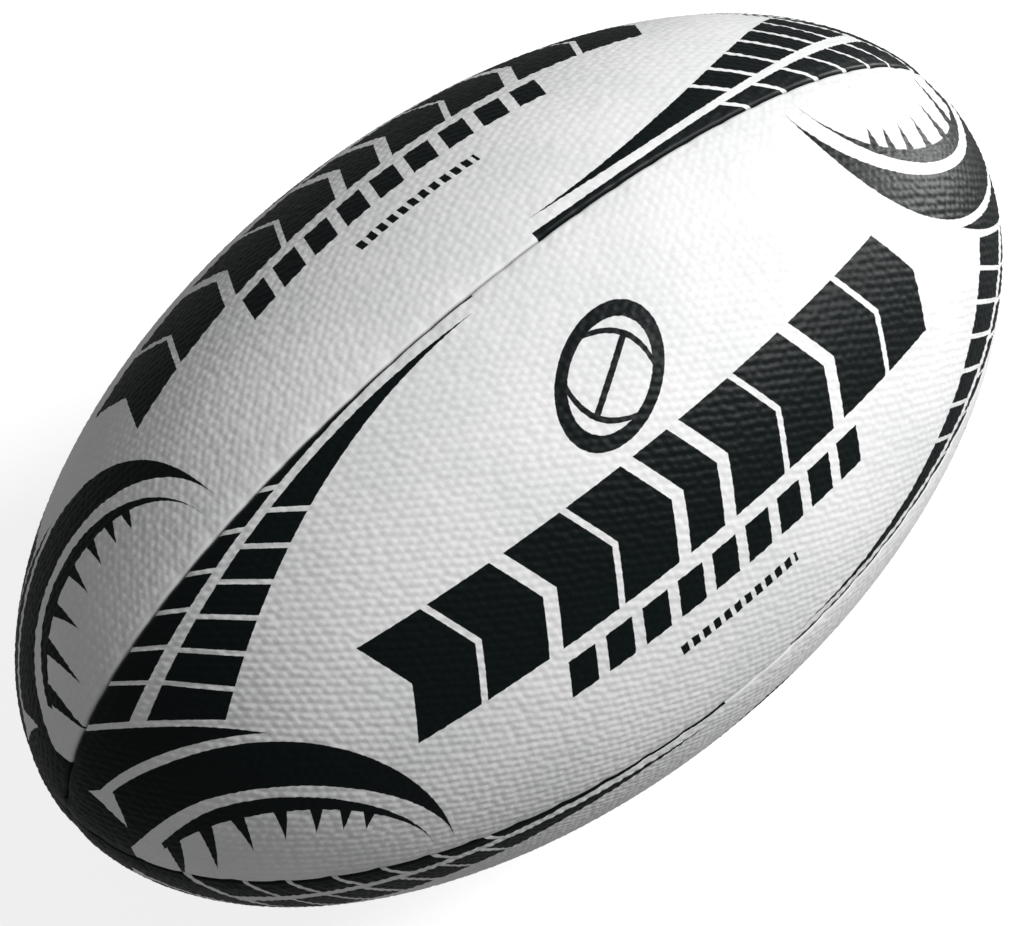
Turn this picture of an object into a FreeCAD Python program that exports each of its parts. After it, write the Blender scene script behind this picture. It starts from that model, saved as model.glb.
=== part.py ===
"""Stitched four-panel rugby ball, in millimetres.

The long axis is X, the origin is the ball's centre and +Z is up. The four seams run from tip to tip along
+Z, +Y, -Z and -Y. Each panel is a laminate: a rubber skin on three textile plies. At a seam the laminate
turns inwards as a flange, and the two flanges that meet there are sewn together.
"""
import FreeCAD, Part
import math
import os

from FreeCAD import Placement, Rotation, Vector

SIZES = {
    # outer shape
    "half_length": 150.0,
    "half_width": 89.2,
    # laminate, from the outside inwards
    "skin_thickness": 0.8,
    "ply_thickness": 0.35,
    "flange_height": 5.5,  # from the laminate's inner face to the flange's edge
    "seam_roll_radius": 1.2,  # rolled edge of the skin along a seam
    # small hollow where four panel corners meet
    "tip_hollow_radius": 2.2,
    "tip_hollow_depth": 2.5,
    # stitches through the flanges
    "thread_diameter": 0.8,
    "stitch_pitch": 6.0,
    "stitch_gap": 0.05,  # between the two threads in one needle hole
    "stitch_depth": 4.25,  # below the ball's surface
    "stitch_end_radius": 6.0,  # distance from the long axis where the stitching stops
    # bladder
    "bladder_depth": 2.4,  # below the ball's surface, between the seams
    "bladder_thickness": 0.7,
    "fold_half_width": 3.0,  # folds of the bladder that take the flanges
    "fold_clearance": 0.4,
    # valve, in the panel between the back seam and the bottom seam
    "valve_angle": 16.0,  # degrees from the back seam
    "valve_recess": 0.25,  # top of the valve below the ball's surface
    "stem_radius": 4.0,
    "stem_length": 13.0,
    "stem_clearance": 0.1,
    "plug_radius": 2.3,
    "plug_length": 11.0,
    "needle_radius": 1.1,
    "needle_depth": 8.0,
    "valve_flange_radius": 11.0,
    "valve_flange_thickness": 1.2,
    # patches bonded to the inner face of the laminate
    "patch_radius": 18.0,
    "patch_thickness": 0.5,
    "glue_gap": 0.02,
    # cylinders that cut or trim beside the valve's axis
    "cutter_depth": 12.0,
    "cutter_overshoot": 2.0,
}

PLY_COUNT = 3

# Each panel is the back top one, between +Y and +Z, turned about X by this many degrees.
PANELS = {
    "panel_back_top": 0,
    "panel_front_top": 90,
    "panel_front_bottom": 180,
    "panel_back_bottom": 270,
}
VALVE_PANEL = "panel_back_bottom"

# Each seam is the top one turned about X by this many degrees.
SEAMS = {"top": 0, "front": 90, "bottom": 180, "back": 270}

X_AXIS = Vector(1, 0, 0)
Y_AXIS = Vector(0, 1, 0)
Z_AXIS = Vector(0, 0, 1)

doc = FreeCAD.newDocument("rugby_ball")
sheet = doc.addObject("Spreadsheet::Sheet", "sizes")
for row, (alias, value) in enumerate(SIZES.items(), start=1):
    sheet.set(f"A{row}", str(value))
    sheet.setAlias(f"A{row}", alias)
doc.recompute()


# ---- depths below the ball's surface, as formulas of the sheet ----


def layer_depth(number):
    """Outer face of a layer: 0 is the skin, 1 to 3 the plies, 4 the laminate's inner face."""
    if number == 0:
        return "0"
    return f"(sizes.skin_thickness + {number - 1} * sizes.ply_thickness)"


LAMINATE_DEPTH = layer_depth(PLY_COUNT + 1)
FLANGE_DEPTH = f"({LAMINATE_DEPTH} + sizes.flange_height)"
FOLD_DEPTH = f"({FLANGE_DEPTH} + sizes.fold_clearance)"
PATCH_DEPTH = f"({LAMINATE_DEPTH} + sizes.glue_gap)"
VALVE_FLANGE_DEPTH = "(sizes.bladder_depth + sizes.bladder_thickness + sizes.glue_gap)"


# ---- building blocks ----


def add(kind, name, formulas):
    item = doc.addObject(kind, name)
    for path, formula in formulas.items():
        item.setExpression(path, formula)
    return item


def combine(operation, name, base, tool):
    item = doc.addObject(f"Part::{operation}", name)
    item.Base = base
    item.Tool = tool
    return item


def fuse(name, shapes):
    item = doc.addObject("Part::MultiFuse", name)
    item.Shapes = shapes
    return item


def ellipsoid(name, depth, turn=0):
    """Solid ball shape at a depth below the surface. Its own edge line lies opposite a panel's middle."""
    radii = {
        "Radius1": f"sizes.half_length - {depth}",
        "Radius2": f"sizes.half_width - {depth}",
        "Radius3": f"sizes.half_width - {depth}",
    }
    item = add("Part::Ellipsoid", name, radii)
    item.Placement = Placement(Vector(), Rotation(X_AXIS, turn - 45) * Rotation(Y_AXIS, 90))
    return item


def lobe(name, turn, depth, wall):
    """A ball shape's part in one quadrant, as far as a wall beside each of the two seam planes."""
    ball = ellipsoid(f"{name}_ball", depth, turn)
    rotation = Rotation(X_AXIS, turn)
    corner = rotation.multVec(Y_AXIS + Z_AXIS)
    lengths = {
        "Length": "2 * sizes.half_length",
        "Width": "sizes.half_width",
        "Height": "sizes.half_width",
    }
    box = add("Part::Box", f"{name}_box", lengths)
    box.Placement = Placement(Vector(), rotation)
    box.setExpression("Placement.Base.x", "-sizes.half_length")
    box.setExpression("Placement.Base.y", f"{round(corner.y)} * {wall}")
    box.setExpression("Placement.Base.z", f"{round(corner.z)} * {wall}")
    return combine("Common", name, ball, box)


def valve_cylinder(name, radius, depth, height, side=1):
    """Cylinder on the valve's axis, or opposite it with side -1, standing outwards from a depth."""
    item = add("Part::Cylinder", name, {"Radius": radius, "Height": height})
    outwards = Vector(0, side * math.cos(VALVE_TURN), -side * math.sin(VALVE_TURN))
    item.Placement = Placement(Vector(), Rotation(Z_AXIS, outwards))
    reach = f"{side} * (sizes.half_width - {depth})"
    item.setExpression("Placement.Base.y", f"{reach} * cos(sizes.valve_angle)")
    item.setExpression("Placement.Base.z", f"-{reach} * sin(sizes.valve_angle)")
    return item


def curved_disc(name, radius, depth, thickness, side=1):
    """Disc that follows the ball's curve, round the valve's axis or opposite it."""
    height = "sizes.cutter_depth + sizes.cutter_overshoot"
    trim = valve_cylinder(f"{name}_trim", radius, "sizes.cutter_depth", height, side)
    outside = ellipsoid(f"{name}_outside", depth)
    inside = ellipsoid(f"{name}_inside", f"{depth} - {thickness}")
    cap = combine("Common", f"{name}_cap", trim, outside)
    return combine("Cut", name, cap, inside)


VALVE_TURN = math.radians(sheet.valve_angle)

nodes = []


def keep(item, label):
    """Make an object a sub-part: its label names its file."""
    item.Label = label
    nodes.append(item)
    return item


# ---- tools that several pieces share ----

tip_cylinders = []
for side, name in ((1, "tip_hollow_right"), (-1, "tip_hollow_left")):
    formulas = {"Radius": "sizes.tip_hollow_radius", "Height": "2 * sizes.tip_hollow_depth"}
    tip = add("Part::Cylinder", name, formulas)
    tip.Placement = Placement(Vector(), Rotation(Z_AXIS, side * X_AXIS))
    tip.setExpression("Placement.Base.x", f"{side} * (sizes.half_length - sizes.tip_hollow_depth)")
    tip_cylinders.append(tip)
tip_hollows = fuse("tip_hollows", tip_cylinders)

valve_hole = valve_cylinder(
    "valve_hole",
    "sizes.stem_radius + sizes.stem_clearance",
    "sizes.cutter_depth",
    "sizes.cutter_depth + sizes.cutter_overshoot",
)


# ---- panels: skin and plies ----


def on_seam(edge):
    """Whether an edge of a lobe lies on the ball's surface in a seam plane."""
    for parameter in (0.1, 0.5, 0.9):
        first, last = edge.ParameterRange
        point = edge.valueAt(first + parameter * (last - first))
        radius = math.hypot(point.y, point.z)
        surface = math.hypot(point.x / sheet.half_length, radius / sheet.half_width)
        if min(abs(point.y), abs(point.z)) > 1e-3 or abs(surface - 1) > 1e-5:
            return False
    return True


def rolled_lobe(panel, solid_lobe):
    """The outer lobe with its two seam edges rolled over."""
    pointed = combine("Cut", f"{panel}_hollowed", solid_lobe, tip_hollows)
    doc.recompute()
    radius = float(sheet.seam_roll_radius)
    rolled = doc.addObject("Part::Fillet", f"{panel}_rolled")
    rolled.Base = pointed
    edges = [number for number, edge in enumerate(pointed.Shape.Edges, start=1) if on_seam(edge)]
    rolled.Edges = [(number, radius, radius) for number in edges]
    return rolled


for panel, turn in PANELS.items():
    inside = fuse(f"{panel}_inside", [ellipsoid(f"{panel}_core", FLANGE_DEPTH, turn), tip_hollows])
    lobes = [
        lobe(f"{panel}_lobe_{number}", turn, layer_depth(number), layer_depth(number))
        for number in range(PLY_COUNT + 2)
    ]
    lobes[0] = rolled_lobe(panel, lobes[0])
    for number in range(PLY_COUNT + 1):
        label = f"{panel}_ply_{number}" if number else f"{panel}_skin"
        sheet_layer = combine("Cut", f"{label}_full", lobes[number], lobes[number + 1])
        layer = combine("Cut", f"{label}_open", sheet_layer, inside)
        if panel == VALVE_PANEL:
            layer = combine("Cut", f"{label}_holed", layer, valve_hole)
        keep(layer, label)


# ---- seam threads ----


def stitch_places(length_radius, width_radius):
    """Evenly spaced points along the top seam, each with the seam's direction there, from -X to +X."""
    turn = math.pi - math.asin(sheet.stitch_end_radius / width_radius)
    last = math.pi - turn
    step = -0.0005
    path = []
    travelled = 0.0
    while turn > last:
        along = Vector(length_radius * math.sin(turn), 0, -width_radius * math.cos(turn))
        place = Vector(length_radius * math.cos(turn), 0, width_radius * math.sin(turn))
        path.append((travelled, place, along))
        travelled += along.Length * abs(step)
        turn += step
    pitch = float(sheet.stitch_pitch)
    count = int(travelled / pitch)
    target = (travelled - count * pitch + pitch) / 2
    for distance, place, along in path:
        if distance >= target and count:
            yield place, along
            target += pitch
            count -= 1


def stitch_loop():
    """One stitch: a closed loop that goes through both flanges twice, centred on the origin along X."""
    thread = float(sheet.thread_diameter)
    laminate = sheet.skin_thickness + PLY_COUNT * sheet.ply_thickness
    along = (sheet.stitch_pitch - thread - sheet.stitch_gap) / 2
    across = laminate + thread / 2
    corners = []
    for x_sign, y_sign in ((1, -1), (1, 1), (-1, 1), (-1, -1)):
        first_bend = Vector(x_sign * along, y_sign * (across - thread), 0)
        second_bend = Vector(x_sign * (along - thread), y_sign * across, 0)
        corners += [first_bend, second_bend] if x_sign == y_sign else [second_bend, first_bend]
    middle_of_side = Vector(along, 0, 0)
    path = Part.makePolygon([middle_of_side] + corners[2:] + corners[:2] + [middle_of_side])
    section = Part.Wire([Part.makeCircle(thread / 2, middle_of_side, Y_AXIS)])
    mitred = 1
    return path.makePipeShell([section], True, False, mitred)


# A run of loops along a curve has no feature of its own, so each thread is a shape set here.
loop = stitch_loop()
stitches = []
stitch_depth = float(sheet.stitch_depth)
for place, along in stitch_places(sheet.half_length - stitch_depth, sheet.half_width - stitch_depth):
    stitch = loop.copy()
    stitch.Placement = Placement(place, Rotation(X_AXIS, along))
    stitches.append(stitch)
for seam, turn in SEAMS.items():
    thread = doc.addObject("Part::Feature", f"seam_thread_{seam}")
    thread.Shape = Part.Compound(stitches)
    thread.Placement = Placement(Vector(), Rotation(X_AXIS, turn))
    keep(thread, f"seam_thread_{seam}")


# ---- bladder ----


def bladder_shape(name, grown_depth, grown_wall, fold_depth):
    """Ball shape with a fold along each seam."""
    lobes = [lobe(f"{name}_lobe_{turn}", turn, grown_depth, grown_wall) for turn in PANELS.values()]
    core = [lobe(f"{name}_core_{turn}", turn, fold_depth, "0") for turn in PANELS.values()]
    return fuse(name, lobes + core)


bladder_outside = bladder_shape(
    "bladder_outside", "sizes.bladder_depth", "sizes.fold_half_width", FOLD_DEPTH
)
bladder_inside = bladder_shape(
    "bladder_inside",
    "(sizes.bladder_depth + sizes.bladder_thickness)",
    "(sizes.fold_half_width + sizes.bladder_thickness)",
    f"({FOLD_DEPTH} + sizes.bladder_thickness)",
)
bladder_wall = combine("Cut", "bladder_wall", bladder_outside, bladder_inside)
keep(combine("Cut", "bladder_holed", bladder_wall, valve_hole), "bladder")


# ---- valve ----

stem = valve_cylinder(
    "valve_stem", "sizes.stem_radius", "(sizes.valve_recess + sizes.stem_length)", "sizes.stem_length"
)
valve_flange = curved_disc(
    "valve_flange", "sizes.valve_flange_radius", VALVE_FLANGE_DEPTH, "sizes.valve_flange_thickness"
)
plug_bore = valve_cylinder(
    "plug_bore",
    "sizes.plug_radius",
    "(sizes.valve_recess + sizes.plug_length)",
    "sizes.plug_length + sizes.cutter_overshoot",
)
housing_body = fuse("valve_housing_body", [stem, valve_flange])
keep(combine("Cut", "valve_housing_bored", housing_body, plug_bore), "valve_housing")

plug_body = valve_cylinder(
    "plug_body", "sizes.plug_radius", "(sizes.valve_recess + sizes.plug_length)", "sizes.plug_length"
)
needle_bore = valve_cylinder(
    "needle_bore",
    "sizes.needle_radius",
    "(sizes.valve_recess + sizes.needle_depth)",
    "sizes.needle_depth + sizes.cutter_overshoot",
)
keep(combine("Cut", "valve_plug_bored", plug_body, needle_bore), "valve_plug")


# ---- patches ----

patch_disc = curved_disc(
    "valve_patch_disc", "sizes.patch_radius", PATCH_DEPTH, "sizes.patch_thickness"
)
keep(combine("Cut", "valve_patch_holed", patch_disc, valve_hole), "valve_patch")
balance_disc = curved_disc(
    "balance_disc", "sizes.patch_radius", PATCH_DEPTH, "sizes.patch_thickness", side=-1
)
keep(balance_disc, "balance_patch")


# ---- check and export ----

doc.recompute()
for item in doc.Objects:
    if "Invalid" in item.State or "Error" in item.State:
        raise RuntimeError(f"{item.Label} failed: {item.State}")
for item in nodes:
    if item.Shape.isNull() or not item.Shape.isValid() or not item.Shape.Solids:
        raise RuntimeError(f"{item.Label} has no valid solid")

os.makedirs("parts", exist_ok=True)
for item in nodes:
    item.Shape.exportStep(f"parts/{item.Label}.step")
    box = item.Shape.BoundBox
    print(
        f"{item.Label:28s} solids {len(item.Shape.Solids):3d} volume {item.Shape.Volume:10.1f}"
        f"  x {box.XMin:8.2f} {box.XMax:8.2f}  y {box.YMin:7.2f} {box.YMax:7.2f}"
        f"  z {box.ZMin:7.2f} {box.ZMax:7.2f}"
    )
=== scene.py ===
import math

import bmesh
import bpy
import numpy as np
from mathutils import Matrix, Vector


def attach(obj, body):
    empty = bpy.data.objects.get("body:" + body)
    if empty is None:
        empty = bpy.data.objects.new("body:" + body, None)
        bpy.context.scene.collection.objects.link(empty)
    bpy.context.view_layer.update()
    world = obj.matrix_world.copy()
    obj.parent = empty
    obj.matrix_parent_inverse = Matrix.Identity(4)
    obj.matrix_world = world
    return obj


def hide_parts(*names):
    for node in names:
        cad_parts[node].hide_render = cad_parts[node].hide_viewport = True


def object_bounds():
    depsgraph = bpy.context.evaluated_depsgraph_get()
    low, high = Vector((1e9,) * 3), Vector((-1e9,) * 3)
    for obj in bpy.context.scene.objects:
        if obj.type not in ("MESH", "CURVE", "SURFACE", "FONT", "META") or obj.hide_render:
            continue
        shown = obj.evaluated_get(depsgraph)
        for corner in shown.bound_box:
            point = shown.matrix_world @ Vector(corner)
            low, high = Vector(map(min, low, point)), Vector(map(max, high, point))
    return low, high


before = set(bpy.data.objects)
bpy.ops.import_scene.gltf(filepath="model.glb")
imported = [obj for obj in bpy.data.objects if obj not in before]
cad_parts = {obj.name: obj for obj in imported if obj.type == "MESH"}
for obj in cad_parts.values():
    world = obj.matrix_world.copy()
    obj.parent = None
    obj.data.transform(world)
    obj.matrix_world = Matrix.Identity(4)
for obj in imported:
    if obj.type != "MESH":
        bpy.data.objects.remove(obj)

CAD_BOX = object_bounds()

# Lengths are in millimetres until a mesh is made, because the print is laid out in millimetres.
MM = 0.001

# ---- the ball's own measures, from the frame ----


def node_points(name):
    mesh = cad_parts[name].data
    points = np.empty(len(mesh.vertices) * 3)
    mesh.vertices.foreach_get("co", points)
    return points.reshape(-1, 3) / MM


def ball_size():
    """Half the length and half the width of the cover's outside."""
    points = node_points("panel_front_top_skin")
    radius = np.hypot(points[:, 1], points[:, 2])
    half_width = radius.max()
    along = radius < 0.95 * half_width
    slope = np.sqrt(1 - (radius[along] / half_width) ** 2)
    return (np.abs(points[along, 0]) / slope).max(), half_width


HALF_LENGTH, HALF_WIDTH = ball_size()

# ---- sizes of the cover's details ----
ROW_STEP = 0.70
POINT_STEP = 0.62
# The pimples' pitch, in rows along the panel and points across it.
PIMPLE_ROWS = 6
PIMPLE_POINTS = 4
PIMPLE_HEIGHT = 0.29
PIMPLE_RADIUS = 1.22
PIMPLE_JITTER = 0.40
PIMPLE_SPREAD = 0.10
PIMPLE_UNEVEN = 0.15
SMOOTH_SINK = 0.35
TIP_RADIUS = 2.3
SEAM_GAP = 0.03
ROLL_RADIUS = 1.2
ROLL_ANGLES = (90, 68, 48, 30, 14)
FLANGE_DEPTHS = (4.2, 2.4)
STRIP_OFFSETS = (1.45, 2.1)
ROLL_SHARE = 0.35
SKIN_THICKNESS = 0.8
DIP_DEPTH = 0.35
DIP_WIDTH = 2.8
PUCKER_PITCH = 12.0
PUCKER_DEPTH = 0.30
PUCKER_WIDTH = 2.4
SMOOTH_STRIP = (0.8, 2.0)
EDGE_MAX = 9
INNER_ROWS = 6
INNER_SPANS = 12

VALVE_TURN = math.radians(16)
VALVE_HOLE = 4.1
VALVE_COLLAR = 6.6
VALVE_FADE = 1.6
VALVE_CROSS = HALF_WIDTH * (VALVE_TURN - math.pi / 4)
# Faces this many rows and points from the valve are made anew outside, and this far across inside.
VALVE_BLOCK = (9, 10)
VALVE_INNER_REACH = 16
# The rings round the valve: how far out between the hole and the block's rim, and how deep.
VALVE_RINGS = ((0.66, 0), (0.36, 0), (0.12, 0), (0.02, 0.12), (0.0, 0.4), (0.0, 1.1))
VALVE_EDGE = 20.0

# The gathered tips: radius, depth below the tip and depth of the four creases at each ring.
TIP_RINGS = (
    (0.5, 1.00, 0.0), (1.0, 0.90, 0.0), (1.6, 0.70, 0.05), (2.3, 0.52, 0.15), (3.2, 0.45, 0.3),
    (4.2, 0.46, 0.4), (5.2, 0.52, 0.4), (6.0, 0.62, 0.4), (6.6, 0.76, 0.3), (7.2, 1.0, 0.1),
    (7.2, 1.6, 0.0), (5.0, 1.7, 0.0), (2.0, 1.7, 0.0),
)
TIP_SIDES = 128
TIP_CREASE_WIDTH = 0.30
TIP_PRINT = -185.0
TIP_EDGE = 3.0

JITTER = np.random.default_rng(15).uniform(-1, 1, (2, 240, 120, 4))


# ---- the meridian: radius and normal by arc length ----
def meridian_table():
    """Angles along the ellipse from tip to tip, and the arc length at each from the middle."""
    angle = np.linspace(-math.pi / 2, math.pi / 2, 6001)
    speed = np.hypot(HALF_LENGTH * np.cos(angle), HALF_WIDTH * np.sin(angle))
    arc = np.concatenate(([0], np.cumsum((speed[1:] + speed[:-1]) / 2 * np.diff(angle))))
    return angle, arc - arc[-1] / 2


ANGLES, ARCS = meridian_table()


def radius_at(arc):
    return HALF_WIDTH * np.cos(np.interp(arc, ARCS, ANGLES))


def place(arc, turn, depth):
    """Points below the cover's outside; turn runs from the panel's lower seam, 0, to its upper one."""
    angle = np.interp(arc, ARCS, ANGLES)
    along = HALF_WIDTH * np.sin(angle)
    across = HALF_LENGTH * np.cos(angle)
    size = np.hypot(along, across)
    x = HALF_LENGTH * np.sin(angle) - depth * along / size
    radius = HALF_WIDTH * np.cos(angle) - depth * across / size
    return np.column_stack((x, -radius * np.cos(turn), radius * np.sin(turn)))


# ---- numbers worked out over the surface by the shader ----
class Field:
    """A number that varies over the surface, held in a shader's math nodes."""

    def __init__(self, tree, socket):
        self.tree, self.socket = tree, socket

    def math(self, operation, *others):
        node = self.tree.nodes.new("ShaderNodeMath")
        node.operation = operation
        for place_in, value in enumerate((self, *others)):
            if isinstance(value, Field):
                self.tree.links.new(value.socket, node.inputs[place_in])
            else:
                node.inputs[place_in].default_value = value
        return Field(self.tree, node.outputs["Value"])

    def __add__(self, other):
        return self.math("ADD", other)

    def __sub__(self, other):
        return self.math("SUBTRACT", other)

    def __mul__(self, other):
        return self.math("MULTIPLY", other)

    def __truediv__(self, other):
        return self.math("DIVIDE", other)

    def __pow__(self, other):
        return self.math("POWER", other)

    def __abs__(self):
        return self.math("ABSOLUTE")

    def __neg__(self):
        return self * -1.0

    __radd__ = __add__
    __rmul__ = __mul__

    def __rsub__(self, other):
        return self * -1.0 + other


def both(first, *others):
    """The part that all of the shapes share."""
    for other in others:
        first = first.math("MINIMUM", other)
    return first


def either(first, *others):
    """The shapes taken together."""
    for other in others:
        first = first.math("MAXIMUM", other)
    return first


def square(value):
    return value * value


def clipped(value, low, high):
    return value.math("MAXIMUM", low).math("MINIMUM", high)


# ---- the print, as signed distances in millimetres: above zero is ink ----
# u runs along the panel's middle line from mid-length and v across it.
# The marks at both ends are laid out at negative u.
END_SHIFT = 1.5
SOLID_END = -168.9

# Two columns of bars and the slanted lines that cut them.
OUTER_START, OUTER_EDGE, OUTER_BOW = -11, 68.9, 0.0026
INNER_START, INNER_LOW, INNER_LOW_SLOPE, INNER_LOW_BOW = -24, 64.5, 0.11, 0.00405
INNER_TOP_START, INNER_TOP, INNER_TOP_BOW = -20, 65.3, 0.00305
OUTER_GAPS = {"lean": 2.0, "first": -72, "pitch": 22.1, "width": 1.3}
INNER_GAPS = {"lean": 1.43, "first": -88.5, "pitch": 16.65, "width": 1.4}
GAP_COUNT = 6

# The line that the columns stand on, and the wedge under it.
RIM_START, RIM_HEIGHT, RIM_SLOPE = -157, 27.3, 0.436
RIM_HUMP, RIM_HUMP_REACH, RIM_HUMP_DROP = -133.5, 23.5, 2.4
COLUMN_GAP = 1.9
WEDGE_RADIUS, WEDGE_END = 62.4, -105
DROOP_START, DROOP = -135, 0.0055

# The crescents' edges: centre, half length, half height and power.
CRESCENT = (-143.0, -50.0)
BIG_OUTER = (CRESCENT, 54.7, 59.8, 2.2)
BIG_INNER = ((-142, -50), 53.7, 47.5, 1.8)
SMALL_OUTER = ((-140, -50), 46.5, 44.2, 1.8)
SMALL_INNER = (CRESCENT, 49.5, 40, 1.8)
SMALL_START = -158.5

TICK_FIRST = math.radians(79)
TICK_RATIO = 0.80
TICK_COUNT = 5
TICK_REACH = 8.6
TICK_LEAN = 0.065
TICK_SHARPNESS = 40
TICK_ANGLE_MIN = 0.05
# The two broad ticks: tip, half width and height of the root, and lean.
BROAD_TICKS = (((-156.5, -27), 2.9, 19, 0.08), ((-146.7, -25), 2.0, 15, 0.15))
BROAD_ROOT = -6
HOOK = ((-170.4, 8.3), (-166.1, -3.7), (-162.6, 7.6))

# The middle of the panel: place and half height of each row, then its own marks.
CHEVRON_ROW, CHEVRON_HALF = -0.5, 14.5
CHEVRON_SLANT, CHEVRON_SHIFT, CHEVRON_REACH = 0.42, 4.5, 85.5
CHEVRON_CUTS = ((46.5, 2.0), (7.4, 1.9), (27, 0.9), (67, 0.9))
SLANTED_ROW, SLANTED_HALF = -23.7, 4.8
SLANTED_SLANT, SLANTED_SHIFT, SLANTED_REACH = 0.3, 7.0, 49
SLANTED_PITCH, SLANTED_WIDTH = 5.5, 3.9
DASH_ROW, DASH_HALF = -37.5, 1.5
DASH_SHIFT, DASH_REACH, DASH_PITCH, DASH_GAP = -1, 19.5, 1.7, 0.65

EMBLEM_PLACE = (0.8, 32.5)
EMBLEM_TURN = math.radians(32)
EMBLEM_SIZE = (19.5, 12.8)
EMBLEM_RING = 2.9
EMBLEM_LINE = 0.8
EMBLEM_SEAM = 11
EMBLEM_BOW = 0.05


def superellipse(u, v, centre, half_u, half_v, power):
    reach = abs((u - centre[0]) / half_u) ** power + abs((v - centre[1]) / half_v) ** power
    return (1 - reach ** (1 / power)) * min(half_u, half_v)


def stripe(value, middle, half):
    """Above zero within half of the middle."""
    return half - abs(value - middle)


def gaps(u, v, lean, first, pitch, width):
    """Below zero within the thin slanted lines that cut a column into bars."""
    value = u + v * lean - first
    nearest = clipped((value / pitch).math("ROUND"), 0, GAP_COUNT - 1)
    return abs(value - nearest * pitch) / math.hypot(1, lean) - width / 2


def bars(u, v):
    """Two columns of bars that run up along the seam and taper to points."""
    outer = both(v - OUTER_EDGE + square(u - OUTER_START) * OUTER_BOW, OUTER_START - u)
    outer = both(outer, gaps(u, v, **OUTER_GAPS))
    reach = INNER_START - u
    low = INNER_LOW - reach * INNER_LOW_SLOPE - square(reach) * INNER_LOW_BOW
    high = INNER_TOP - square(u - INNER_TOP_START) * INNER_TOP_BOW
    return either(outer, both(v - low, high - v, gaps(u, v, **INNER_GAPS)))


def ticks(u, v, inside):
    """A comb of pointed ticks under the small crescent, shorter and closer towards its thin end."""
    angle = (v - CRESCENT[1]).math("ARCTAN2", u - CRESCENT[0]).math("MAXIMUM", TICK_ANGLE_MIN)
    share = inside / (angle * TICK_REACH)
    angle = angle + share * TICK_LEAN
    count = (angle / TICK_FIRST).math("LOGARITHM", TICK_RATIO)
    phase = count - clipped(count.math("ROUND"), 0, TICK_COUNT - 1)
    aside = abs(phase) * angle * (-math.log(TICK_RATIO) * TICK_SHARPNESS)
    half_width = 1.0 + angle * 0.6
    return both((1 - share) * half_width - aside, inside + 1)


def broad_tick(u, v, tip, half, height, lean):
    """One tick at the small crescent's thick end, that widens from its tip to its root."""
    rise = v - tip[1]
    return both(rise * (half / height) - abs(u - tip[0] - rise * lean), BROAD_ROOT - v)


def wedge_and_columns(u, v):
    """The bars down to a bowed line, and under it a wedge with a round lower edge."""
    hump = square((u - RIM_HUMP) / RIM_HUMP_REACH) * RIM_HUMP_DROP
    rim = RIM_HEIGHT - (u - RIM_START) * RIM_SLOPE - hump
    ring = (square(u - CRESCENT[0]) + square(v - CRESCENT[1])) ** 0.5
    droop = square((u - DROOP_START).math("MAXIMUM", 0.0)) * DROOP
    wedge = both(ring - WEDGE_RADIUS, rim - droop - v, WEDGE_END - u)
    return either(both(bars(u, v), v - rim - COLUMN_GAP), wedge)


def crescents(u, v):
    """A big crescent round a small one with ticks."""
    big = both(superellipse(u, v, *BIG_OUTER), -superellipse(u, v, *BIG_INNER))
    within = superellipse(u, v, *SMALL_INNER)
    broad = [broad_tick(u, v, *tick) for tick in BROAD_TICKS]
    small = either(both(-within, u - SMALL_START), ticks(u, v, within), *broad)
    small = both(superellipse(u, v, *SMALL_OUTER), small)
    return both(either(big, small), v - CRESCENT[1])


def hook(u, v):
    """The white barb at the thick end of the upper white band, from its three straight sides."""
    sides = []
    for start, end in zip(HOOK, HOOK[1:] + HOOK[:1]):
        along, across = end[0] - start[0], end[1] - start[1]
        length = math.hypot(along, across)
        sides.append((v - start[1]) * (along / length) - (u - start[0]) * (across / length))
    return both(*sides)


def end_print(u, v):
    """Bars, crescents and ticks; the same at both ends after half a turn about the panel's middle."""
    v = v * u.math("SIGN") * -1.0 + u.math("GREATER_THAN", 0.0) * END_SHIFT
    u = -abs(u)
    marks = either(wedge_and_columns(u, v), SOLID_END - u, crescents(u, v))
    return both(marks, -hook(u, v))


def chevrons(u, v):
    """A broad band of chevrons, split into five groups."""
    spread = abs(u + abs(v - CHEVRON_ROW) * CHEVRON_SLANT - CHEVRON_SHIFT)
    cuts = either(*(stripe(spread, middle, half) for middle, half in CHEVRON_CUTS))
    return both(stripe(v, CHEVRON_ROW, CHEVRON_HALF), CHEVRON_REACH - spread, -cuts)


def small_bars(u, v):
    """Slanted bars in a row, and a finer row of dashes under it."""
    lean = u - v * SLANTED_SLANT - SLANTED_SHIFT
    slanted = both(
        stripe(v, SLANTED_ROW, SLANTED_HALF),
        stripe(lean, 0, SLANTED_REACH),
        SLANTED_WIDTH - lean.math("PINGPONG", SLANTED_PITCH),
    )
    dashes = both(
        stripe(v, DASH_ROW, DASH_HALF),
        stripe(u, DASH_SHIFT, DASH_REACH),
        u.math("PINGPONG", DASH_PITCH) - DASH_GAP,
    )
    return either(slanted, dashes)


def emblem(u, v):
    """A plain outline of a ball."""
    u, v = u - EMBLEM_PLACE[0], v - EMBLEM_PLACE[1]
    along = u * math.cos(EMBLEM_TURN) + v * math.sin(EMBLEM_TURN)
    across = v * math.cos(EMBLEM_TURN) - u * math.sin(EMBLEM_TURN)
    outside = superellipse(along, across, (0, 0), *EMBLEM_SIZE, 2)
    ring = both(outside, EMBLEM_RING - outside)
    seam = both(EMBLEM_LINE - abs(across), EMBLEM_SEAM - abs(along))
    bow = abs(along) + square(across) * EMBLEM_BOW
    ends = both(outside, EMBLEM_LINE - abs(bow - EMBLEM_SEAM))
    return either(ring, seam, ends)


def whole_print(u, v):
    return either(end_print(u, v), chevrons(u, v), small_bars(u, v), emblem(u, v))


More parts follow.
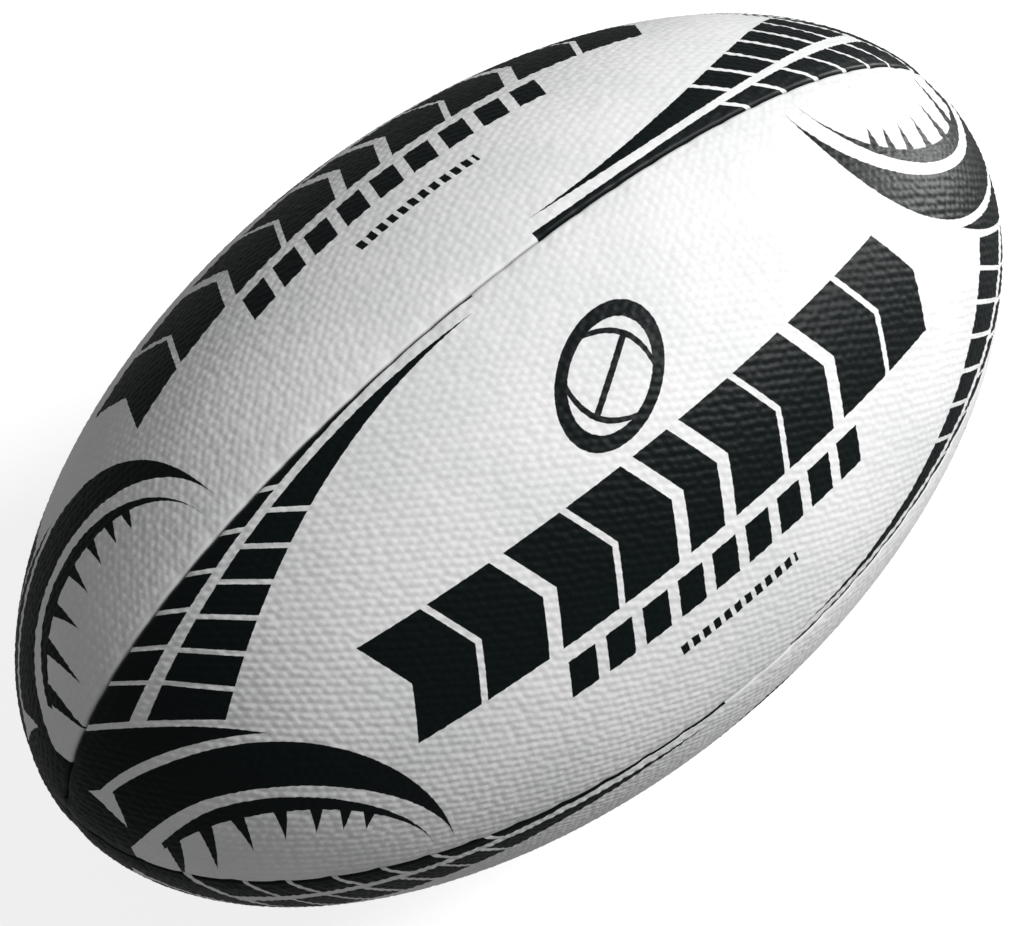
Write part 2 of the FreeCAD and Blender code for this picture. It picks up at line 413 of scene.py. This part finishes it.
# ---- the pimples ----
def pimples(u, v):
    """Height of the grain, 0 in the hollows and about 1 on top of a pimple."""
    long_pitch = ROW_STEP * PIMPLE_ROWS
    cross_pitch = POINT_STEP * PIMPLE_POINTS
    height = np.zeros(len(u))
    for kind, shift in enumerate((0.0, 0.5)):
        row = np.round(u / long_pitch - shift).astype(int)
        point = np.round(v / cross_pitch - shift).astype(int)
        odd = JITTER[kind, row + 100, point + 50]
        du = u - (row + shift) * long_pitch - PIMPLE_JITTER * odd[:, 0]
        dv = v - (point + shift) * cross_pitch - PIMPLE_JITTER * odd[:, 1]
        reach = PIMPLE_RADIUS * (1 + PIMPLE_SPREAD * odd[:, 2])
        dome = np.clip(1 - (du**2 + dv**2) / reach**2, 0, None) ** 1.2
        height = np.maximum(height, dome * (1 + PIMPLE_UNEVEN * odd[:, 3]))
    return height / (1 + PIMPLE_UNEVEN)


def smooth(value, low, high):
    part = np.clip((value - low) / (high - low), 0, 1)
    return part * part * (3 - 2 * part)


# ---- one panel's points ----
class Points:
    """Points with their arc length, distance from the middle line, depth and offset from the seam."""

    def __init__(self):
        self.arc, self.cross, self.depth, self.edge = [], [], [], []

    def add(self, arc, cross, depth, edge):
        first = len(self.arc)
        self.arc += [arc] * len(cross)
        self.cross += list(cross)
        self.depth += list(depth)
        self.edge += list(edge)
        return list(range(first, len(self.arc)))


def seam_profile(scale):
    """Offsets from the seam and depths, from the flange's foot over the rolled edge to the strip."""
    profile = [(SEAM_GAP, depth * scale) for depth in FLANGE_DEPTHS]
    for angle in ROLL_ANGLES:
        offset = SEAM_GAP + ROLL_RADIUS * scale * (1 - math.sin(math.radians(angle)))
        profile.append((offset, ROLL_RADIUS * scale * (1 - math.cos(math.radians(angle)))))
    return profile + [(offset * scale, 0) for offset in STRIP_OFFSETS]


def row_scale(radius):
    """How far the rolled edge shrinks near the tips, where a row is too short for it."""
    return np.minimum(1.0, ROLL_SHARE * radius * math.pi / 4 / ROLL_RADIUS)


def cross_of(offset, radius):
    return radius * (math.pi / 4 - math.asin(min(1, offset / radius)))


def outer_row(points, arc):
    """One row of the outside: the left rolled edge, the pimpled middle and the right rolled edge."""
    radius = float(radius_at(arc))
    profile = seam_profile(row_scale(radius))
    side = [cross_of(offset, radius) for offset, depth in profile]
    count = int((side[-1] - 0.4 * POINT_STEP) / POINT_STEP)
    middle = [i * POINT_STEP for i in range(-count, count + 1)]
    edge_middle = [radius * math.pi / 4 - abs(v) for v in middle]
    offsets = [offset for offset, depth in profile]
    depths = [depth for offset, depth in profile]
    left = points.add(arc, [-v for v in side], depths, offsets)
    centre = points.add(arc, middle, [0] * len(middle), edge_middle)
    right = points.add(arc, side[::-1], depths[::-1], offsets[::-1])
    return left, centre, right


def inner_row(points, arc):
    """One row of the inside, a skin's thickness under the outside."""
    radius = float(radius_at(arc))
    scale = row_scale(radius)
    offset = SEAM_GAP + SKIN_THICKNESS * scale
    side = cross_of(offset, radius)
    foot = FLANGE_DEPTHS[0] * scale
    shoulder = (ROLL_RADIUS + SKIN_THICKNESS) * scale
    spans = [side * (2 * k / INNER_SPANS - 1) for k in range(INNER_SPANS + 1)]
    cross = [-side, -side] + spans[1:-1] + [side, side]
    floor = [SKIN_THICKNESS + PIMPLE_HEIGHT] * (INNER_SPANS - 1)
    depth = [foot, shoulder] + floor + [shoulder, foot]
    return points.add(arc, cross, depth, [-1.0] * len(cross))


def zip_rows(first, first_keys, second, second_keys):
    """Triangles between two chains of points, each in order of its keys."""
    faces = []
    i = j = 0
    while i < len(first) - 1 or j < len(second) - 1:
        use_first = j == len(second) - 1
        if not use_first and i < len(first) - 1:
            use_first = first_keys[i + 1] <= second_keys[j + 1]
        if use_first:
            faces.append((first[i], first[i + 1], second[j]))
            i += 1
        else:
            faces.append((first[i], second[j + 1], second[j]))
            j += 1
    return faces


def strip_faces(first, second):
    return [(first[k], first[k + 1], second[k + 1], second[k]) for k in range(len(first) - 1)]


def chain_keys(points, chain):
    """Keys across a row that stay in order down the flanges."""
    return [points.cross[k] + math.copysign(0.01 * points.depth[k], points.cross[k]) for k in chain]


def outer_faces(points, rows):
    faces = []
    for (left, centre, right), (left_2, centre_2, right_2) in zip(rows, rows[1:]):
        faces += strip_faces(left, left_2) + strip_faces(right, right_2)
        first = [left[-1]] + centre + [right[0]]
        second = [left_2[-1]] + centre_2 + [right_2[0]]
        keys, keys_2 = ([points.cross[k] for k in chain] for chain in (first, second))
        faces += zip_rows(first, keys, second, keys_2)
    return faces


def closing_faces(points, rows, inner):
    """Joins the outside to the inside along both flanges and at both tips."""
    faces = []
    for outside, inside in (
        ([left[0] for left, centre, right in rows], [row[0] for row in inner]),
        ([right[-1] for left, centre, right in rows], [row[-1] for row in inner]),
    ):
        arcs = [points.arc[k] for k in outside]
        faces += zip_rows(outside, arcs, inside, [points.arc[k] for k in inside])
    for row, inside in ((rows[0], inner[0]), (rows[-1], inner[-1])):
        outside = row[0] + row[1] + row[2]
        faces += zip_rows(outside, chain_keys(points, outside), inside, chain_keys(points, inside))
    return faces


# ---- the valve's hole ----
def around(points, chain, centre):
    """A closed chain in order of angle round the valve, and its angles."""
    angles = {k: math.atan2(points.cross[k] - centre, points.arc[k]) for k in chain}
    ordered = sorted(chain, key=angles.get)
    keys = [angles[k] for k in ordered]
    return ordered + ordered[:1], keys + [keys[0] + 2 * math.pi]


def cut_hole(points, faces, inner_faces):
    """Takes the faces out of a block round the valve and fills it with rings down to the inside."""
    centre = VALVE_CROSS
    middle = round(centre / POINT_STEP) * POINT_STEP
    half_u = VALVE_BLOCK[0] * ROW_STEP + 0.01
    half_v = VALVE_BLOCK[1] * POINT_STEP + 0.01
    arc, cross = np.array(points.arc), np.array(points.cross)
    inside = (np.abs(arc) < half_u) & (np.abs(cross - middle) < half_v)
    kept = [face for face in faces if not all(inside[k] for k in face)]
    rim = {k for face in faces if all(inside[k] for k in face) for k in face}
    rim &= {k for face in kept for k in face}

    near = np.abs(arc) < 1.5 * INNER_ROWS * ROW_STEP + 0.01
    near &= np.abs(cross - centre) < VALVE_INNER_REACH
    inner_kept = [face for face in inner_faces if not all(near[k] for k in face)]
    inner_rim = {k for face in inner_faces if all(near[k] for k in face) for k in face}
    inner_rim &= {k for face in inner_kept for k in face}

    chain, keys = around(points, rim, centre)
    rings = [(chain, keys)]
    for share, depth in VALVE_RINGS:
        ring = []
        for k in chain[:-1]:
            angle = math.atan2(points.cross[k] - centre, points.arc[k])
            reach = math.hypot(points.arc[k], points.cross[k] - centre)
            reach = VALVE_HOLE + share * (reach - VALVE_HOLE)
            across = centre + reach * math.sin(angle)
            ring += points.add(reach * math.cos(angle), [across], [depth], [VALVE_EDGE])
        rings.append((ring + ring[:1], keys))
    rings.append(around(points, inner_rim, centre))
    for (first, first_keys), (second, second_keys) in zip(rings, rings[1:]):
        kept += zip_rows(first, first_keys, second, second_keys)
    return kept, inner_kept


# ---- one panel's mesh ----
def panel_shape(with_hole):
    """Points and faces of one closed panel, with the valve's hole or without."""
    points = Points()
    half = len(ARCS) // 2 + 1
    last = int(np.interp(TIP_RADIUS, radius_at(ARCS[:half]), -ARCS[:half]) / ROW_STEP)
    last -= last % INNER_ROWS
    rows = [outer_row(points, j * ROW_STEP) for j in range(-last, last + 1)]
    outside = outer_faces(points, rows)
    inner = [inner_row(points, j * ROW_STEP) for j in range(-last, last + 1, INNER_ROWS)]
    inside = [face for pair in zip(inner, inner[1:]) for face in strip_faces(*pair)]
    closing = closing_faces(points, rows, inner)
    if with_hole:
        outside, inside = cut_hole(points, outside, inside)
    return points, outside + inside + closing


def store(mesh, name, kind, values):
    """Keeps a number or a vector with each point for the shader."""
    field = "value" if kind == "FLOAT" else "vector"
    made = mesh.attributes.new(name, kind, "POINT")
    made.data.foreach_set(field, np.asarray(values, np.float32).ravel())


def relief(arc, cross, edge, with_hole):
    """Depth that the grain, the seam's dip and the stitches' puckers add, and the grain's height."""
    grain = pimples(arc, cross)
    shown = smooth(edge, *SMOOTH_STRIP)
    if with_hole:
        shown *= smooth(np.hypot(arc, cross - VALVE_CROSS), VALVE_COLLAR, VALVE_COLLAR + VALVE_FADE)
    depth = PIMPLE_HEIGHT * (shown * (1 - grain) + (1 - shown) * SMOOTH_SINK)
    pull = np.cos(math.pi * arc / PUCKER_PITCH) ** 8
    depth += DIP_DEPTH * np.exp(-((edge / DIP_WIDTH) ** 2))
    depth += PUCKER_DEPTH * pull * np.exp(-((edge / PUCKER_WIDTH) ** 2))
    return depth, grain * shown


def panel_mesh(name, with_hole):
    """One panel of the cover, in place for the front_top panel."""
    points, faces = panel_shape(with_hole)
    columns = (points.arc, points.cross, points.depth, points.edge)
    arc, cross, depth, edge = (np.array(column, float) for column in columns)
    added, grain = relief(arc, cross, edge, with_hole)
    fade = smooth(row_scale(radius_at(arc)), 0.3, 1.0)
    depth = depth + np.where(edge >= 0, added * (0.3 + 0.7 * fade), 0)
    turn = cross / radius_at(arc) + math.pi / 4

    mesh = bpy.data.meshes.new(name)
    mesh.from_pydata((place(arc, turn, depth) * MM).tolist(), [], faces)
    store(mesh, "edge", "FLOAT", np.clip(edge, 0, EDGE_MAX))
    store(mesh, "grain", "FLOAT", np.clip(grain, 0, EDGE_MAX))
    store(mesh, "print", "FLOAT_VECTOR", np.column_stack((arc, cross, np.zeros(len(arc)))))
    return mesh


def tip_mesh(name, end):
    """The gathered tip where four corners meet: a small closed cap with a dimple and four creases."""
    points, faces = [], []
    turns = [2 * math.pi * k / TIP_SIDES for k in range(TIP_SIDES)]
    for radius, depth, crease in TIP_RINGS:
        for turn in turns:
            aside = radius * abs(math.sin(2 * turn)) / 2
            fold = crease * math.exp(-square(aside / TIP_CREASE_WIDTH))
            x = end * (HALF_LENGTH - depth - fold)
            points.append((x, radius * math.cos(turn), radius * math.sin(turn)))
    for ring in range(len(TIP_RINGS) - 1):
        for k in range(TIP_SIDES):
            first, after = ring * TIP_SIDES + k, ring * TIP_SIDES + (k + 1) % TIP_SIDES
            faces.append((first, after, after + TIP_SIDES, first + TIP_SIDES))
    for ring, depth in ((0, TIP_RINGS[0][1]), (len(TIP_RINGS) - 1, TIP_RINGS[-1][1])):
        points.append((end * (HALF_LENGTH - depth), 0.0, 0.0))
        rim = ring * TIP_SIDES
        faces += [(rim + k, rim + (k + 1) % TIP_SIDES, len(points) - 1) for k in range(TIP_SIDES)]
    mesh = bpy.data.meshes.new(name)
    mesh.from_pydata((np.array(points) * MM).tolist(), [], faces)
    store(mesh, "edge", "FLOAT", np.full(len(points), TIP_EDGE))
    store(mesh, "print", "FLOAT_VECTOR", np.tile((TIP_PRINT, 0.0, 0.0), len(points)))
    return mesh


def tidy_mesh(mesh):
    """Drops loose points, turns every face outwards and shades smoothly."""
    work = bmesh.new()
    work.from_mesh(mesh)
    loose = [v for v in work.verts if not v.link_faces]
    bmesh.ops.delete(work, geom=loose, context="VERTS")
    bmesh.ops.recalc_face_normals(work, faces=work.faces)
    for face in work.faces:
        face.smooth = True
    work.to_mesh(mesh)
    work.free()


# ---- materials; paired colours are the two that noise or a weave runs between ----
WHITES = ((0.80, 0.80, 0.80, 1), (0.74, 0.745, 0.75, 1))
INKS = ((0.0016, 0.0040, 0.0042, 1), (0.0032, 0.0062, 0.0064, 1))
# The grey that the white turns towards in the grain's hollows.
HOLLOW_GREY = (0.42, 0.42, 0.42, 1)
# Painted shade for the seams' creases.
CREASE_SHADE = (0.25, 0.25, 0.26, 1)
THREADS = ((0.50, 0.49, 0.46, 1), (0.82, 0.81, 0.78, 1))
PLY_CLOTH = ((0.62, 0.60, 0.55, 1), (0.34, 0.32, 0.28, 1))
PATCH_CLOTH = ((0.10, 0.10, 0.11, 1), (0.03, 0.03, 0.03, 1))
BLADDER = ((0.050, 0.048, 0.046, 1), (0.026, 0.025, 0.024, 1))
VALVE_RUBBER = ((0.022, 0.022, 0.022, 1), (0.010, 0.010, 0.010, 1))
# How far the print's edge wanders and how soft it is, in millimetres.
PRINT_WANDER = 0.10
PRINT_SOFTNESS = 0.07


def wire(tree, kind, inputs, **settings):
    """Adds one shader node, its settings, and its inputs as values or links."""
    made = tree.nodes.new(kind)
    for name, value in settings.items():
        setattr(made, name, value)
    for name, value in inputs.items():
        socket = made.inputs[name]
        if isinstance(value, bpy.types.NodeSocket):
            tree.links.new(value, socket)
        else:
            socket.default_value = value
    return made


def new_material(name):
    material = bpy.data.materials.new(name)
    material.use_nodes = True
    tree = material.node_tree
    shader = tree.nodes["Principled BSDF"]
    return material, tree, shader


def attribute(tree, name):
    return wire(tree, "ShaderNodeAttribute", {}, attribute_name=name).outputs["Fac"]


def scaled(tree, value, low, high, to_low=0.0, to_high=1.0):
    inputs = {"Value": value, "From Min": low, "From Max": high, "To Min": to_low, "To Max": to_high}
    return wire(tree, "ShaderNodeMapRange", inputs, interpolation_type="SMOOTHSTEP").outputs["Result"]


def object_place(tree):
    return wire(tree, "ShaderNodeTexCoord", {}).outputs["Object"]


def noise(tree, scale, detail=3.0):
    inputs = {"Vector": object_place(tree), "Scale": scale, "Detail": detail}
    return wire(tree, "ShaderNodeTexNoise", inputs).outputs["Fac"]


def waves(tree, scale, direction):
    inputs = {"Vector": object_place(tree), "Scale": scale}
    return wire(tree, "ShaderNodeTexWave", inputs, bands_direction=direction).outputs["Fac"]


def blend_colours(tree, share, first, second):
    mix = wire(tree, "ShaderNodeMix", {0: share, 6: first, 7: second}, data_type="RGBA")
    return mix.outputs[2]


def combine(tree, operation, first, second):
    return wire(tree, "ShaderNodeMath", {0: first, 1: second}, operation=operation).outputs["Value"]


def bump(tree, height, distance, strength):
    inputs = {"Height": height, "Distance": distance, "Strength": strength}
    return wire(tree, "ShaderNodeBump", inputs).outputs["Normal"]


def finish_material(tree, shader, colour, rough, normal):
    """Links a material's colour, roughness and bump."""
    tree.links.new(colour, shader.inputs["Base Color"])
    tree.links.new(rough, shader.inputs["Roughness"])
    tree.links.new(normal, shader.inputs["Normal"])


def cover_material():
    """White rubber with a near-black print, a little darker in the grain's hollows, with painted shade
    in the seams' creases.
    """
    material, tree, shader = new_material("cover_rubber_printed")
    fine = noise(tree, 2600.0)
    broad = noise(tree, 38.0)
    layout = wire(tree, "ShaderNodeAttribute", {}, attribute_name="print").outputs["Vector"]
    split = wire(tree, "ShaderNodeSeparateXYZ", {"Vector": layout})
    inked = whole_print(Field(tree, split.outputs["X"]), Field(tree, split.outputs["Y"]))
    wander = scaled(tree, noise(tree, 900.0), 0.0, 1.0, -PRINT_WANDER, PRINT_WANDER)
    inked = combine(tree, "ADD", inked.socket, wander)
    printed = scaled(tree, inked, -PRINT_SOFTNESS, PRINT_SOFTNESS)

    white = blend_colours(tree, scaled(tree, broad, 0.35, 0.65), *WHITES)
    # The white turns up to a tenth of the way to grey in the hollows between the pimples.
    hollow_darkening = scaled(tree, attribute(tree, "grain"), 0.0, 0.35, 0.10, 0.0)
    white = blend_colours(tree, hollow_darkening, white, HOLLOW_GREY)
    # Painted shade: the white turns towards dark grey in the seam's crease, within half a millimetre
    # of the seam.
    crease = scaled(tree, attribute(tree, "edge"), 0.0, 0.45, 0.55, 0.0)
    white = blend_colours(tree, crease, white, CREASE_SHADE)
    ink = blend_colours(tree, scaled(tree, fine, 0.3, 0.7), *INKS)
    colour = blend_colours(tree, printed, white, ink)

    rough_white = scaled(tree, fine, 0.25, 0.75, 0.50, 0.62)
    rough_ink = scaled(tree, fine, 0.25, 0.75, 0.40, 0.50)
    inputs = {0: printed, 2: rough_white, 3: rough_ink}
    rough = wire(tree, "ShaderNodeMix", inputs, data_type="FLOAT").outputs[0]
    finish_material(tree, shader, colour, rough, bump(tree, fine, 0.00006, 0.5))
    shader.inputs["Specular IOR Level"].default_value = 0.12
    return material


def fabric_material(name, colour, dark, threads):
    """Plain woven backing cloth under rubber solution."""
    material, tree, shader = new_material(name)
    weave = combine(tree, "MULTIPLY", waves(tree, threads, "X"), waves(tree, threads, "Z"))
    colour = blend_colours(tree, weave, dark, colour)
    rough = scaled(tree, noise(tree, 700.0), 0.2, 0.8, 0.75, 0.92)
    finish_material(tree, shader, colour, rough, bump(tree, weave, 0.0001, 0.8))
    shader.inputs["Sheen Weight"].default_value = 0.3
    return material


def thread_material():
    """Waxed twisted polyester."""
    material, tree, shader = new_material("seam_thread_twisted")
    twist = waves(tree, 900.0, "DIAGONAL")
    colour = blend_colours(tree, twist, *THREADS)
    rough = scaled(tree, noise(tree, 1500.0), 0.2, 0.8, 0.45, 0.65)
    finish_material(tree, shader, colour, rough, bump(tree, twist, 0.0001, 0.7))
    return material


def rubber_material(name, light, dark, low, high):
    """Plain moulded rubber with a fine bloom."""
    material, tree, shader = new_material(name)
    bloom = noise(tree, 120.0, 5.0)
    fine = noise(tree, 2200.0)
    colour = blend_colours(tree, scaled(tree, bloom, 0.35, 0.7), dark, light)
    rough = scaled(tree, fine, 0.25, 0.75, low, high)
    finish_material(tree, shader, colour, rough, bump(tree, fine, 0.00005, 0.6))
    return material


def dress(name, material):
    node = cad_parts[name]
    node.data.materials.clear()
    node.data.materials.append(material)
    for face in node.data.polygons:
        face.material_index = 0


# ---- camera, floor and light ----
CAMERA_AZIMUTH = math.radians(-37.46)
CAMERA_ELEVATION = math.radians(60.04)
CAMERA_ROLL = math.radians(-5.08)
CAMERA_DISTANCE = 1.073
CAMERA_LENS = 146.78
CAMERA_SENSOR = 36.0
CAMERA_SHIFT = (-0.0086, -0.0120)

FLOOR_SIDES = 96
FLOOR_FLAT = 2.0
FLOOR_FLAT_RINGS = 5
FLOOR_CURVE = 6.0
FLOOR_CURVE_RINGS = 12
FLOOR_TONES = ((0.40, 0.40, 0.40, 1), (0.42, 0.42, 0.42, 1))
FLOOR_GLOW = 0.78

# The lamps: direction, distance, size and power.
KEY_LAMP = (Vector((0.698, -0.370, 0.613)), 3.0, 1.3, 112.0)
GLINT_LAMP = (Vector((0.985, -0.08, -0.02)), 2.0, 0.5, 34.0)
ROOM_LIGHT = 0.24
WHITE = (1, 1, 1, 1)


def away(azimuth, elevation):
    """Direction from the ball to a viewer."""
    flat = math.cos(elevation)
    return Vector((math.sin(azimuth) * flat, -math.cos(azimuth) * flat, math.sin(elevation)))


def make_camera():
    lens = bpy.data.cameras.new("camera")
    lens.lens = CAMERA_LENS
    lens.sensor_width = CAMERA_SENSOR
    lens.shift_x, lens.shift_y = CAMERA_SHIFT
    camera = bpy.data.objects.new("camera", lens)
    bpy.context.scene.collection.objects.link(camera)
    back = away(CAMERA_AZIMUTH, CAMERA_ELEVATION)
    level = back.to_track_quat("Z", "Y").to_matrix().to_4x4()
    roll = Matrix.Rotation(CAMERA_ROLL, 4, "Z")
    camera.matrix_world = Matrix.Translation(back * CAMERA_DISTANCE) @ level @ roll
    bpy.context.scene.camera = camera


def bowl_profile():
    """Radius and height of the studio floor: flat under the ball, then a wide curve up all round."""
    level = CAD_BOX[0].z
    profile = [(FLOOR_FLAT * k / FLOOR_FLAT_RINGS, level) for k in range(1, FLOOR_FLAT_RINGS + 1)]
    for k in range(1, FLOOR_CURVE_RINGS + 1):
        angle = math.pi / 2 * k / FLOOR_CURVE_RINGS
        radius = FLOOR_FLAT + FLOOR_CURVE * math.sin(angle)
        profile.append((radius, level + FLOOR_CURVE * (1 - math.cos(angle))))
    return profile


def floor_mesh():
    """The floor's rings, joined from the middle out."""
    profile = bowl_profile()
    turns = [2 * math.pi * k / FLOOR_SIDES for k in range(FLOOR_SIDES)]
    points = [(0, 0, CAD_BOX[0].z)]
    for radius, height in profile:
        points += [(radius * math.cos(t), radius * math.sin(t), height) for t in turns]
    faces = [(0, 1 + k, 1 + (k + 1) % FLOOR_SIDES) for k in range(FLOOR_SIDES)]
    for ring in range(len(profile) - 1):
        inside = 1 + ring * FLOOR_SIDES
        outside = inside + FLOOR_SIDES
        for k in range(FLOOR_SIDES):
            after = (k + 1) % FLOOR_SIDES
            faces.append((inside + k, outside + k, outside + after, inside + after))
    mesh = bpy.data.meshes.new("floor")
    mesh.from_pydata(points, [], faces)
    mesh.shade_smooth()
    return mesh


def floor_material():
    material, tree, shader = new_material("floor_pale")
    tone = scaled(tree, noise(tree, 6.0), 0.3, 0.7)
    tree.links.new(blend_colours(tree, tone, *FLOOR_TONES), shader.inputs["Base Color"])
    shader.inputs["Roughness"].default_value = 1.0
    shader.inputs["Specular IOR Level"].default_value = 0.0
    shader.inputs["Emission Color"].default_value = WHITE
    shader.inputs["Emission Strength"].default_value = FLOOR_GLOW
    return material


def make_floor():
    """The plain pale floor. It shows and takes shadows, but throws no light on the ball."""
    mesh = floor_mesh()
    mesh.materials.append(floor_material())
    floor = bpy.data.objects.new("floor", mesh)
    bpy.context.scene.collection.objects.link(floor)
    floor.visible_diffuse = False
    floor.visible_glossy = False
    floor.visible_transmission = False
    floor.visible_shadow = False


def add_lamp(name, direction, distance, size, power):
    """A round soft lamp that points at the ball."""
    lamp = bpy.data.lights.new(name, "AREA")
    lamp.shape = "DISK"
    lamp.size = size
    lamp.energy = power
    holder = bpy.data.objects.new(name, lamp)
    bpy.context.scene.collection.objects.link(holder)
    direction = direction.normalized()
    turn = direction.to_track_quat("Z", "Y").to_matrix().to_4x4()
    holder.matrix_world = Matrix.Translation(direction * distance) @ turn
    return holder


def make_light():
    """A soft key lamp, a low lamp that only adds a shine on the print, and an even room."""
    add_lamp("key", *KEY_LAMP)
    glint = add_lamp("glint", *GLINT_LAMP)
    glint.visible_diffuse = False
    world = bpy.data.worlds.new("studio")
    world.use_nodes = True
    room = world.node_tree.nodes["Background"]
    room.inputs["Color"].default_value = WHITE
    room.inputs["Strength"].default_value = ROOM_LIGHT
    bpy.context.scene.world = world
    bpy.context.scene.view_settings.view_transform = "Standard"


# ---- everything together ----
PANELS = {"back_top": -90, "front_top": 0, "front_bottom": 90, "back_bottom": 180}


def finish_piece(mesh, material, *replaced):
    """Makes a mesh of the cover into a piece of the ball."""
    tidy_mesh(mesh)
    mesh.materials.append(material)
    piece = bpy.data.objects.new(mesh.name, mesh)
    bpy.context.scene.collection.objects.link(piece)
    if replaced:
        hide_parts(*replaced)
    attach(piece, "root")


def make_cover():
    material = cover_material()
    for name, degrees in PANELS.items():
        mesh = panel_mesh("cover_" + name, name == "back_bottom")
        mesh.transform(Matrix.Rotation(math.radians(degrees), 4, "X"))
        finish_piece(mesh, material, "panel_" + name + "_skin")
    for name, end in (("left", -1), ("right", 1)):
        finish_piece(tip_mesh("cover_tip_" + name, end), material)


def dress_frame():
    """Gives every node of the frame that still shows its material."""
    ply = fabric_material("ply_cloth", *PLY_CLOTH, 520.0)
    patch = fabric_material("patch_cloth", *PATCH_CLOTH, 420.0)
    thread = thread_material()
    bladder = rubber_material("bladder_latex", *BLADDER, 0.40, 0.58)
    valve = rubber_material("valve_black", *VALVE_RUBBER, 0.42, 0.6)
    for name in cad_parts:
        if "_ply_" in name:
            dress(name, ply)
        elif name.startswith("seam_thread"):
            dress(name, thread)
        elif name == "bladder":
            dress(name, bladder)
        elif name in ("valve_housing", "valve_plug"):
            dress(name, valve)
        elif name.endswith("_patch"):
            dress(name, patch)


make_camera()
make_floor()
make_light()
make_cover()
dress_frame()
